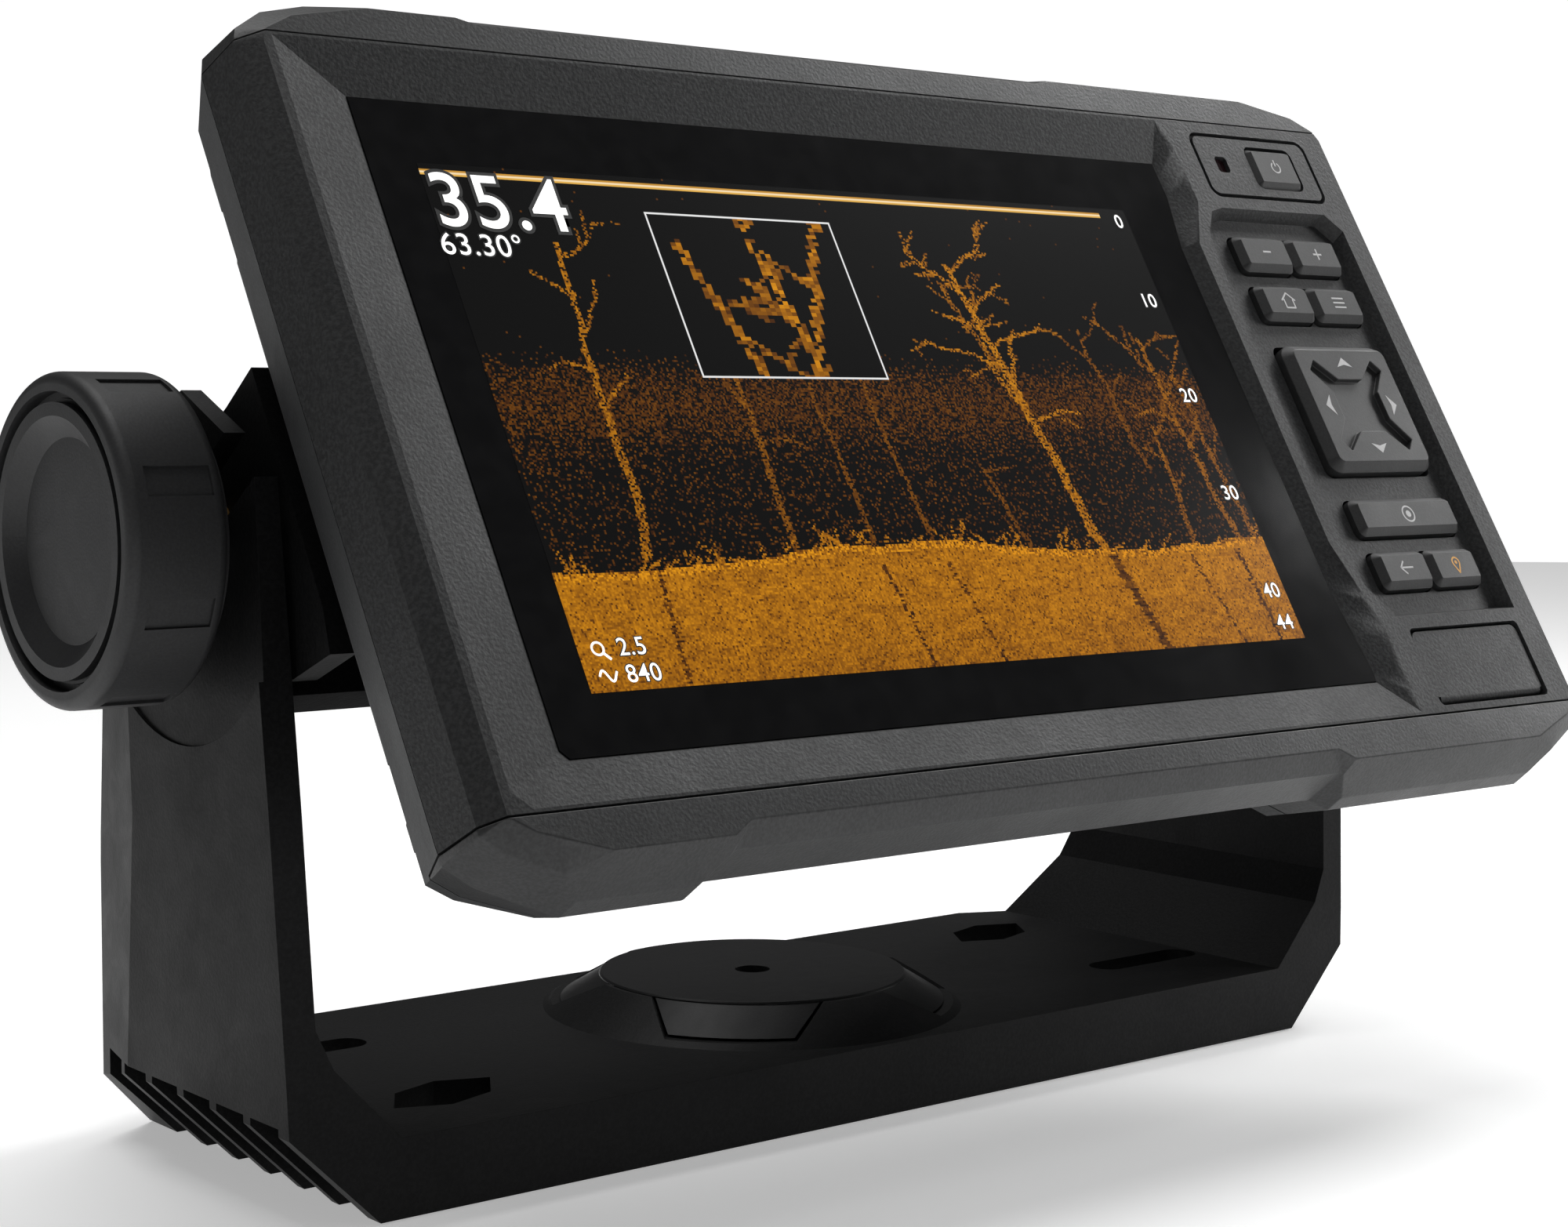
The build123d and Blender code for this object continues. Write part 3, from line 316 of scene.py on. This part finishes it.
class Drawing:
    """Collects flat polygons of one icon."""

    def __init__(self):
        self.verts = []
        self.faces = []

    def poly(self, points):
        """One filled polygon."""
        start = len(self.verts)
        self.verts += list(points)
        self.faces.append(list(range(start, start + len(points))))

    def line(self, a, b, width):
        """Straight stroke, a little longer than its ends so that strokes join."""
        direction = Vector((b[0] - a[0], b[1] - a[1])).normalized() * width / 2
        side = Vector((-direction.y, direction.x))
        a = Vector(a) - direction * 0.3
        b = Vector(b) + direction * 0.3
        self.poly([tuple(a - side), tuple(b - side), tuple(b + side), tuple(a + side)])

    def path(self, points, width):
        """Strokes from point to point."""
        for a, b in zip(points, points[1:]):
            self.line(a, b, width)

    def arc(self, cx, cu, radius, width, start=0, end=360):
        """Round stroke between two angles in degrees."""
        steps = 28
        angles = [math.radians(start + (end - start) * i / steps) for i in range(steps + 1)]
        for a, b in zip(angles, angles[1:]):
            ring = []
            for side, t in ((-1, a), (1, a), (1, b), (-1, b)):
                r = radius + side * width / 2
                ring.append((cx + r * math.cos(t), cu + r * math.sin(t)))
            self.poly(ring)


def key_centre(node):
    """Middle of a key's top in the head's frame, mm."""
    s = span(node)
    local = HEAD.inverted() @ (X * sum(s[0]) / 2 + U * sum(s[1]) / 2 + N * s[2][1])
    return local.x / MM, local.y / MM, local.z / MM


def icon(node, draw, material=WHITE_INK):
    """Print a generic icon on a key."""
    cx, cu, top = key_centre(node)
    drawing = Drawing()
    draw(drawing, cx, cu)
    lay(node + "_icon", drawing.verts, drawing.faces, material, BODY_OF[node], top + 0.03)


def draw_power(d, x, u):
    d.arc(x, u, 1.0, 0.28, 120, 420)
    d.line((x, u + 0.3), (x, u + 1.5), 0.28)


def draw_minus(d, x, u):
    d.line((x - 0.9, u), (x + 0.9, u), 0.34)


def draw_plus(d, x, u):
    d.line((x - 1.0, u), (x + 1.0, u), 0.34)
    d.line((x, u - 1.0), (x, u + 1.0), 0.34)


def draw_home(d, x, u):
    d.path([(x - 1.6, u + 0.1), (x, u + 1.5), (x + 1.6, u + 0.1)], 0.3)
    d.path([(x - 1.05, u + 0.3), (x - 1.05, u - 1.3), (x + 1.05, u - 1.3), (x + 1.05, u + 0.3)], 0.3)


def draw_menu(d, x, u):
    for k in (-1, 0, 1):
        d.line((x - 1.4, u + k * 0.85), (x + 1.4, u + k * 0.85), 0.3)


def draw_select(d, x, u):
    d.arc(x, u, 1.35, 0.3)
    d.arc(x, u, 0.3, 0.6)


def draw_back(d, x, u):
    d.path([(x - 0.4, u + 1.1), (x - 1.5, u), (x - 0.4, u - 1.1)], 0.3)
    d.line((x - 1.4, u), (x + 1.5, u), 0.3)


def draw_mark(d, x, u):
    d.arc(x, u + 0.45, 0.85, 0.3, -35, 215)
    d.path([(x - 0.72, u), (x, u - 1.45), (x + 0.72, u)], 0.3)
    d.arc(x, u + 0.45, 0.16, 0.32)


def draw_arrows(d, x, u):
    half_tips = (((8.9, 0), (7.1, 1.9), (7.55, 0)), ((8.9, 0), (7.55, 0), (7.1, -1.9)))
    for k in range(4):
        c = math.cos(math.radians(90 * k))
        s = math.sin(math.radians(90 * k))
        for tip in half_tips:
            d.poly([(x + p * c - q * s, u + p * s + q * c) for p, q in tip])


ICONS = {
    "key_power": draw_power,
    "key_minus": draw_minus,
    "key_plus": draw_plus,
    "key_home": draw_home,
    "key_menu": draw_menu,
    "key_select": draw_select,
    "key_back": draw_back,
}
for name, draw in ICONS.items():
    icon(name, draw)
icon("key_mark", draw_mark, AMBER_INK)
icon("key_dpad", draw_arrows)


# ---------------------------------------------------------------------------
# The sonar picture: a fine grid coloured by the drawing code below.
# s runs across it and t down it, both from 0 to 1.
# ---------------------------------------------------------------------------
COLS = 440
ROWS = 256
STEP_S = 0.0022         # one step along a branch
STEP_T = 0.0038
BOTTOM_T = 0.775        # mean height of the lake bed
SHADOW_T = 0.80         # shadows start below this
SHADOW_LONG = 0.20
glow = np.zeros((ROWS, COLS))
s_grid = np.linspace(0, 1, COLS)[None, :]
t_grid = np.linspace(0, 1, ROWS)[:, None]


def smooth_noise(cells, seed):
    """Soft wandering line over the picture's width."""
    values = np.random.default_rng(seed).random(cells + 1)
    return np.interp(np.linspace(0, cells, COLS), np.arange(cells + 1), values)


def dots(s, t, width, strength, ragged=0.6):
    """Short rough row of echoes."""
    col = s * (COLS - 1)
    row = t * (ROWS - 1)
    half = max(width, 0.5)
    for c in range(int(col - half), int(col + half) + 1):
        r = int(row + rng.normal(0, 0.5))
        if 0 <= c < COLS and 0 <= r < ROWS and rng.random() < ragged:
            glow[r, c] = max(glow[r, c], strength * rng.uniform(0.5, 1.1))


def limb(s, t, angle, length, width, strength, depth):
    """Branch that wanders and forks."""
    steps = int(length * 260)
    for i in range(steps):
        s += math.cos(angle) * STEP_S
        t -= math.sin(angle) * STEP_T
        angle += rng.normal(0, 0.10)
        dots(s, t, width * (1 - 0.5 * i / steps), strength)
        if depth > 0 and rng.random() < 0.035:
            side = rng.choice((-1, 1))
            fork = angle + side * rng.uniform(0.5, 1.2)
            reach = length * rng.uniform(0.25, 0.5)
            limb(s, t, fork, reach, width * 0.7, strength * 0.85, depth - 1)


def trunk(s_top, t_top, s_low, t_low, width, strength, branches, reach):
    """Leaning trunk with side branches near its top."""
    steps = int((t_low - t_top) * ROWS * 1.4)
    wander = 0.0
    for i in range(steps):
        k = i / steps
        wander = wander * 0.96 + rng.normal(0, 0.0006)
        s = s_top + (s_low - s_top) * k + wander
        t = t_top + (t_low - t_top) * k
        dots(s, t, width * (0.5 + 0.7 * k), strength * (1 - 0.15 * k), 0.75)
    for b in range(branches):
        k = (b + 0.4) / branches * 0.62
        s = s_top + (s_low - s_top) * k
        t = t_top + (t_low - t_top) * k
        side = -1 if b % 2 else 1
        angle = math.pi / 2 - side * rng.uniform(0.5, 1.15)
        limb(s, t, angle, reach * rng.uniform(0.5, 1.0), width * 0.6, strength * 0.9, 2)


def draw_haze():
    """Small echoes, densest in a band above the middle."""
    haze = np.exp(-((t_grid - 0.47) / 0.075) ** 2) * 0.62 + 0.20 * (t_grid > 0.4) * (t_grid < 0.8)
    haze = haze * np.clip((t_grid - 0.345 - 0.02 * smooth_noise(9, 3)[None, :]) / 0.05, 0, 1)
    speck = rng.random((ROWS, COLS))
    glow[:] += np.where(speck < haze * 0.8, rng.uniform(0.08, 0.33, (ROWS, COLS)), 0.0)
    glow[:] += haze * 0.012


# s and t of the top, s and t of the foot, width, strength, branches, reach of the branches
TIMBER = (
    (0.135, 0.15, 0.118, 0.77, 1.6, 0.75, 5, 0.16),
    (0.305, 0.36, 0.30, 0.77, 1.3, 0.5, 3, 0.10),
    (0.40, 0.43, 0.405, 0.78, 0.9, 0.42, 1, 0.08),
    (0.475, 0.42, 0.492, 0.79, 0.9, 0.42, 0, 0.08),
    (0.60, 0.60, 0.63, 0.79, 0.9, 0.4, 2, 0.08),
    (0.665, 0.16, 0.735, 0.79, 2.4, 0.85, 9, 0.24),
    (0.645, 0.20, 0.69, 0.40, 1.2, 0.6, 3, 0.14),
    (0.835, 0.30, 0.86, 0.62, 1.0, 0.45, 3, 0.12),
    (0.93, 0.32, 0.955, 0.78, 1.6, 0.6, 5, 0.2),
    (0.965, 0.40, 0.99, 0.80, 1.3, 0.55, 3, 0.14),
    (0.895, 0.52, 0.885, 0.80, 1.3, 0.55, 3, 0.12),
)
MAGNIFIED_TIMBER = (
    (0.42, 0.02, 0.50, 0.62, 1.9, 0.9, 2, 0.14),
    (0.34, 0.12, 0.46, 0.66, 1.6, 0.75, 1, 0.12),
    (0.53, 0.05, 0.45, 0.42, 1.5, 0.85, 2, 0.14),
    (0.38, 0.30, 0.56, 0.52, 1.2, 0.6, 1, 0.12),
)
# s of the top, s of the foot, width
SHADOWS = (
    (0.745, 0.775, 5.0),
    (0.125, 0.115, 2.2),
    (0.41, 0.43, 2.0),
    (0.95, 0.962, 2.4),
    (0.50, 0.53, 1.6),
    (0.87, 0.90, 1.4),
)


def draw_clutter():
    """Stray echoes just under the surface."""
    rows = int(0.35 * ROWS)
    clutter = rng.random((ROWS, COLS)) < 0.0015
    glow[:rows] += 0.25 * clutter[:rows]


def draw_bottom():
    """Bright mottled lake bed with a brighter rim; returns its height across the picture."""
    bed = BOTTOM_T + 0.018 * np.sin(s_grid * 9.0 + 0.6) + 0.012 * smooth_noise(22, 5)[None, :]
    mottle = rng.random((ROWS, COLS))
    coarse = np.kron(rng.random((ROWS // 4, COLS // 8)), np.ones((4, 8)))
    bright = 0.40 + 0.34 * mottle + 0.14 * coarse - 0.5 * np.clip(t_grid - bed - 0.05, 0, 1)
    bright = np.where(mottle < 0.06, 0.28, bright)
    glow[:] = np.where(t_grid > bed, bright, glow)
    rim = np.abs(t_grid - bed) < 0.008
    glow[:] = np.where(rim, np.maximum(glow, 0.95 * mottle + 0.2), glow)
    return bed[0]


def draw_shadows():
    """Dark ragged lines that the trunks cast on the bed."""
    for s_top, s_low, wide in SHADOWS:
        for r in range(int(SHADOW_T * ROWS), ROWS):
            k = (r / ROWS - SHADOW_T) / SHADOW_LONG
            c = int((s_top + (s_low - s_top) * k) * COLS + rng.normal(0, 0.7))
            half = int(wide * rng.uniform(0.4, 1.0))
            glow[r, max(c - half, 0):min(c + half, COLS)] *= rng.uniform(0.15, 0.55)


def draw_weed(bed):
    """Short growth standing on the bed."""
    for _ in range(60):
        s = rng.random()
        t = float(np.interp(s, s_grid[0], bed)) - 0.004
        angle = rng.uniform(0.1, 3.0)
        length = rng.uniform(0.02, 0.06)
        limb(s, t, angle, length, 0.7, 0.7, 0)


# the magnified inset's columns and rows
C0 = int(0.262 * COLS)
C1 = int(0.512 * COLS)
R0 = int(0.075 * ROWS)
R1 = int(0.415 * ROWS)
BLOCK_H = 2
BLOCK_W = 3
MAGNIFY = 0.9           # cells of the drawing for each cell of the inset
FROM_ROW = 18           # the drawing's cell at the inset's corner
FROM_COL = 140


def draw_inset():
    """Magnified timber in coarse blocks, over the picture's own echoes."""
    whole = glow.copy()
    glow[:] = 0
    for tree in MAGNIFIED_TIMBER:
        trunk(*tree)
    for r in range(R0, R1, BLOCK_H):
        for c in range(C0, C1, BLOCK_W):
            source_r = int((r - R0) * MAGNIFY) + FROM_ROW
            source_c = int((c - C0) * MAGNIFY) + FROM_COL
            value = glow[source_r:source_r + 2, source_c:source_c + 3].max()
            shown = value > 0.2 and rng.random() < 0.9
            value = value * rng.uniform(0.45, 1.05) if shown else 0.0
            whole[r:min(r + BLOCK_H, R1), c:min(c + BLOCK_W, C1)] = value
    glow[:] = whole


def echo_colours():
    """Amber for the echoes, with the surface line and the inset's white frame."""
    colours = np.zeros((ROWS, COLS, 3))
    level_of = np.clip(glow, 0, 1)
    colours[..., 0] = 0.003 + 0.72 * level_of ** 1.45
    colours[..., 1] = 0.003 + 0.285 * level_of ** 1.65
    colours[..., 2] = 0.003 + 0.004 * level_of ** 2
    for r, tone in ((3, (0.55, 0.27, 0.04)), (4, (0.9, 0.72, 0.45)), (5, (0.75, 0.42, 0.08))):
        colours[r, : int(0.955 * COLS)] = tone
    white = (0.8, 0.8, 0.8)
    colours[R0, C0:C1] = white
    colours[R1, C0:C1] = white
    colours[R0:R1, C0] = white
    colours[R0:R1 + 1, C1] = white
    return colours


draw_haze()
for tree in TIMBER:
    trunk(*tree)
draw_clutter()
bed_line = draw_bottom()
draw_shadows()
draw_weed(bed_line)
draw_inset()
amber = echo_colours()

picture_material, picture_tree, picture_shader = new_material("picture")
colour_node = picture_tree.nodes.new("ShaderNodeVertexColor")
colour_node.layer_name = "echo"
picture_tree.links.new(colour_node.outputs["Color"], picture_shader.inputs["Emission Color"])
picture_shader.inputs["Emission Strength"].default_value = 1.0
picture_shader.inputs["Base Color"].default_value = (0.004, 0.004, 0.004, 1)
picture_shader.inputs["Roughness"].default_value = 0.25
picture_shader.inputs["Specular IOR Level"].default_value = 0.08

points = []
for r in range(ROWS + 1):
    for c in range(COLS + 1):
        points.append(((c / COLS - 0.5) * ACTIVE_W / MM, (0.5 - r / ROWS) * ACTIVE_H / MM))
quads = []
for r in range(ROWS):
    for c in range(COLS):
        a = r * (COLS + 1) + c
        quads.append((a, a + COLS + 1, a + COLS + 2, a + 1))
picture = lay("sonar_picture", points, quads, picture_material, "head", 0.03)
echo = picture.data.color_attributes.new("echo", "FLOAT_COLOR", "CORNER")
rgba = np.ones((ROWS * COLS, 4))
rgba[:, :3] = amber.reshape(-1, 3)
echo.data.foreach_set("color", np.repeat(rgba, 4, axis=0).ravel())

ink_material, _, ink_shader = new_material("figures")
ink_shader.inputs["Emission Color"].default_value = (0.85, 0.85, 0.83, 1)
ink_shader.inputs["Emission Strength"].default_value = 1.0
edge_material, _, edge_shader = new_material("figure_edges")
edge_shader.inputs["Base Color"].default_value = (0.004, 0.004, 0.004, 1)
FONT_SIZE = 1.37        # size of the font for figures one unit high


def figures(name, text, s, t, height, align="LEFT", weight=0.004):
    """Generic figures on the display, with a dark outline behind them."""
    layers = (("", ink_material, weight, 0.09), ("_edge", edge_material, weight + 0.06, 0.06))
    for suffix, material, offset, lift in layers:
        curve = bpy.data.curves.new(name + suffix, "FONT")
        curve.body = text
        curve.size = height * FONT_SIZE
        curve.offset = offset * height
        curve.space_character = 1.06
        curve.align_x = align
        curve.align_y = "TOP_BASELINE"
        holder = bpy.data.objects.new(name + suffix, curve)
        scene.collection.objects.link(holder)
        bpy.context.view_layer.update()
        depsgraph = bpy.context.evaluated_depsgraph_get()
        mesh = bpy.data.meshes.new_from_object(holder.evaluated_get(depsgraph))
        bpy.data.objects.remove(holder)
        mesh.materials.clear()
        mesh.materials.append(material)
        x = (s - 0.5) * ACTIVE_W / MM
        u = (0.5 - t) * ACTIVE_H / MM - height
        mesh.transform(Matrix.Translation((x, u, lift)))
        mesh.transform(Matrix.Scale(MM, 4))
        piece = bpy.data.objects.new(name + suffix, mesh)
        scene.collection.objects.link(piece)
        piece.matrix_world = HEAD
        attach(piece, "head")


SMALL = 2.5             # height of the small figures, mm
SCALE_T = {"0": 0.012, "10": 0.205, "20": 0.43, "30": 0.655, "40": 0.875, "44": 0.945}
figures("depth", "35.4", 0.002, 0.012, 8.6, weight=0.006)
figures("warmth", "63.30°", -0.004, 0.138, 3.4)
for label, t in SCALE_T.items():
    figures("scale_" + label, label, 0.99, t, SMALL, "RIGHT")
figures("zoom_figure", "2.5", 0.045, 0.905, SMALL)
figures("tone_figure", "840", 0.045, 0.953, SMALL)

# a magnifying glass and a wave beside the two lower figures
marks = Drawing()
mark_x = (0.012 - 0.5) * ACTIVE_W / MM
zoom_u = (0.5 - 0.93) * ACTIVE_H / MM
wave_u = (0.5 - 0.972) * ACTIVE_H / MM
marks.arc(mark_x + 1.4, zoom_u + 0.5, 0.85, 0.32)
marks.line((mark_x + 2.0, zoom_u - 0.1), (mark_x + 2.9, zoom_u - 1.0), 0.4)
wave = [(mark_x + 0.4 + 0.1 * i, wave_u + 0.75 * math.sin(0.1 * i * 2.6)) for i in range(28)]
marks.path(wave, 0.32)
lay("display_marks", marks.verts, marks.faces, ink_material, "head", 0.09)

# ---------------------------------------------------------------------------
# Floor and light
# ---------------------------------------------------------------------------
FLOOR_Z = cad_bounds[0][2]
FLOOR_HALF = 4
BACKDROP_AHEAD = 1.4
BACKDROP_HALF = 5
BACKDROP_TOP = 3


def stage_sheet(name, corners, colour, rough, emission):
    """Plain pale sheet of the studio."""
    mesh = bpy.data.meshes.new(name)
    mesh.from_pydata(corners, [], [(0, 1, 2, 3)])
    material, _, shader = new_material(name)
    shader.inputs["Base Color"].default_value = (colour, colour, colour, 1)
    shader.inputs["Roughness"].default_value = rough
    shader.inputs["Emission Color"].default_value = (1, 1, 1, 1)
    shader.inputs["Emission Strength"].default_value = emission
    mesh.materials.append(material)
    sheet = bpy.data.objects.new(name, mesh)
    scene.collection.objects.link(sheet)
    return sheet


quarters = ((-1, -1), (1, -1), (1, 1), (-1, 1))
floor_corners = [(FLOOR_HALF * x, FLOOR_HALF * y, FLOOR_Z) for x, y in quarters]
stage_sheet("floor", floor_corners, 0.86, 0.7, 0.38)

# the backdrop stands square to the camera and only the camera sees it
ahead = Vector((math.sin(YAW), math.cos(YAW), 0))
across = Vector((math.cos(YAW), -math.sin(YAW), 0))
backdrop_corners = []
for side, height in ((-1, FLOOR_Z), (1, FLOOR_Z), (1, BACKDROP_TOP), (-1, BACKDROP_TOP)):
    foot = ahead * BACKDROP_AHEAD + across * side * BACKDROP_HALF
    backdrop_corners.append(foot + Vector((0, 0, height)))
backdrop = stage_sheet("backdrop", backdrop_corners, 0.3, 0.9, 0.86)
backdrop.visible_diffuse = False
backdrop.visible_glossy = False

world = bpy.data.worlds.new("world")
scene.world = world
world.use_nodes = True
world.node_tree.nodes["Background"].inputs["Color"].default_value = (1, 1, 1, 1)
world.node_tree.nodes["Background"].inputs["Strength"].default_value = 0.08


def area(name, place, target, size, power):
    """Soft rectangular light aimed at a point."""
    data = bpy.data.lights.new(name, "AREA")
    data.shape = "RECTANGLE"
    data.size = size[0]
    data.size_y = size[1]
    data.energy = power
    lamp = bpy.data.objects.new(name, data)
    lamp.location = place
    lamp.rotation_euler = (Vector(target) - Vector(place)).to_track_quat("-Z", "Y").to_euler()
    scene.collection.objects.link(lamp)


area("top_light", (0.0, 0.3, 1.5), (0, 0, 0.0), (1.4, 1.0), 14)
area("key_light", (0.6, 0.04, 0.62), (0.08, -0.04, 0.12), (0.25, 0.25), 2.6)
area("right_strip", (0.42, -0.16, 0.22), (0.1, -0.07, 0.09), (0.08, 0.2), 0.5)
area("left_top", (-0.35, -0.5, 0.95), (-0.05, -0.05, 0.1), (0.5, 0.5), 0.5)
area("front_fill", (0.1, -1.2, 0.25), (0, 0, 0.08), (1.2, 0.5), 0.12)
